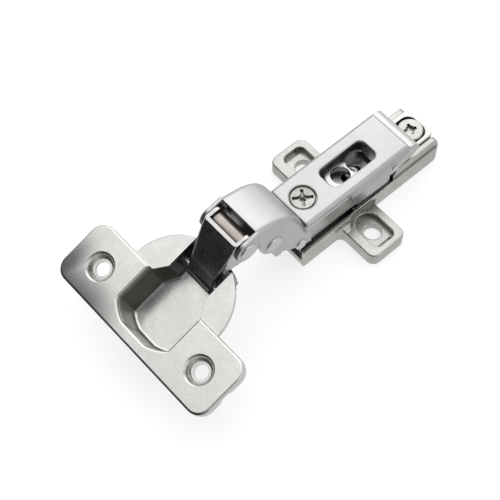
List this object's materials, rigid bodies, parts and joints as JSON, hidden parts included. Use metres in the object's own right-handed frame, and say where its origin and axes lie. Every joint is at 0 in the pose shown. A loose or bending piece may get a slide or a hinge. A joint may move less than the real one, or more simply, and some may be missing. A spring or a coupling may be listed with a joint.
{
  "type": "concealed cup hinge",
  "caption": "Concealed cabinet hinge with a tilted cup on two links, a channel arm with side and depth adjusters, a release lever and a winged screw-on mounting plate.",
  "frame": {"origin": "midway between the two mounting plate screw holes, on the plate's underside", "axes": "+Z away from the cabinet side the plate is screwed to, +X along the arm from the door end to the rear end, +Y along the line of the plate's screw holes; the door is open"},
  "size_m": [0.1229, 0.0662, 0.0388],
  "materials": {
    "cup": "nickel plated, satin",
    "cup_pin_outer": "nickel plated, satin",
    "cup_pin_inner": "nickel plated, satin",
    "outer_link": "nickel plated, satin",
    "inner_link": "nickel plated, satin",
    "link_sleeve": "nickel plated, satin",
    "outer_link_rivet": "nickel plated, satin",
    "inner_link_rivet": "nickel plated, satin",
    "spring_rivet": "nickel plated, satin",
    "closing_spring": "nickel plated, satin",
    "nose_arm": "nickel plated, satin",
    "outer_arm": "nickel plated, satin",
    "side_adjust_screw": "nickel plated, satin",
    "arm_retainer": "nickel plated, satin",
    "release_lever": "nickel plated, satin",
    "lever_pin": "nickel plated, satin",
    "lever_spring": "nickel plated, satin",
    "slide_plate": "nickel plated, satin",
    "depth_cam": "nickel plated, satin",
    "guide_screw": "nickel plated, satin",
    "mounting_plate": "nickel plated, satin"
  },
  "bodies": {
    "base": {"mounting_plate": "mounting_plate", "guide_screw": "guide_screw"},
    "cam": {"depth_cam": "depth_cam"},
    "arm": {"outer_arm": "outer_arm", "arm_retainer": "arm_retainer", "slide_plate": "slide_plate", "lever_pin": "lever_pin", "lever_spring": "lever_spring"},
    "side_screw": {"side_adjust_screw": "side_adjust_screw"},
    "nose": {"nose_arm": "nose_arm", "outer_link_rivet": "outer_link_rivet", "inner_link_rivet": "inner_link_rivet", "spring_rivet": "spring_rivet", "link_sleeve": "link_sleeve", "closing_spring": "closing_spring"},
    "outer_link": {"outer_link": "outer_link"},
    "cup": {"cup": "cup", "cup_pin_outer": "cup_pin_outer", "cup_pin_inner": "cup_pin_inner"},
    "inner_link": {"inner_link": "inner_link"},
    "lever": {"release_lever": "release_lever"}
  },
  "joints": [
    {"name": "depth_slide", "type": "slide", "parent": "base", "child": "arm", "axis": [1, 0, 0], "range_m": [-0.00145, 0.00145]},
    {"name": "depth_cam_turn", "type": "hinge", "parent": "base", "child": "cam", "pos_m": [0.0306, 0.0011, 0], "axis": [0, 0, 1], "range_deg": [-60, 60]},
    {"name": "side_tilt", "type": "hinge", "parent": "arm", "child": "nose", "pos_m": [0.003, 0, 0.0145], "axis": [0, 1, 0], "range_deg": [-1.5, 1.5]},
    {"name": "side_screw_turn", "type": "hinge", "parent": "arm", "child": "side_screw", "pos_m": [-0.0157, 0, 0.02], "axis": [0, 0, 1], "range_deg": [-221, 221]},
    {"name": "cup_fold", "type": "hinge", "parent": "outer_link", "child": "cup", "pos_m": [-0.05574, 0, 0.0193], "axis": [0, 1, 0], "range_deg": [0, 139.92]},
    {"name": "outer_link_turn", "type": "hinge", "parent": "nose", "child": "outer_link", "pos_m": [-0.04495, 0, 0.0332], "axis": [0, 1, 0], "range_deg": [-29.9, 0]},
    {"name": "inner_link_turn", "type": "hinge", "parent": "cup", "child": "inner_link", "pos_m": [-0.0515, 0, 0.02267], "axis": [0, 1, 0], "range_deg": [-155.1, 0]},
    {"name": "release_press", "type": "hinge", "parent": "arm", "child": "lever", "pos_m": [0.016, 0, 0.0143], "axis": [0, 1, 0], "range_deg": [0, 8], "stiffness_Nm_per_rad": 0.2, "springref_deg": -2.86}
  ],
  "couplings": [
    {"joint": "depth_cam_turn", "follows": "depth_slide", "rad_per_m": 719.84},
    {"joint": "side_screw_turn", "follows": "side_tilt", "ratio": -146.67},
    {"joint": "outer_link_turn", "follows": "cup_fold", "ratio": -0.21312},
    {"joint": "inner_link_turn", "follows": "cup_fold", "ratio": -1.1078}
  ]
}
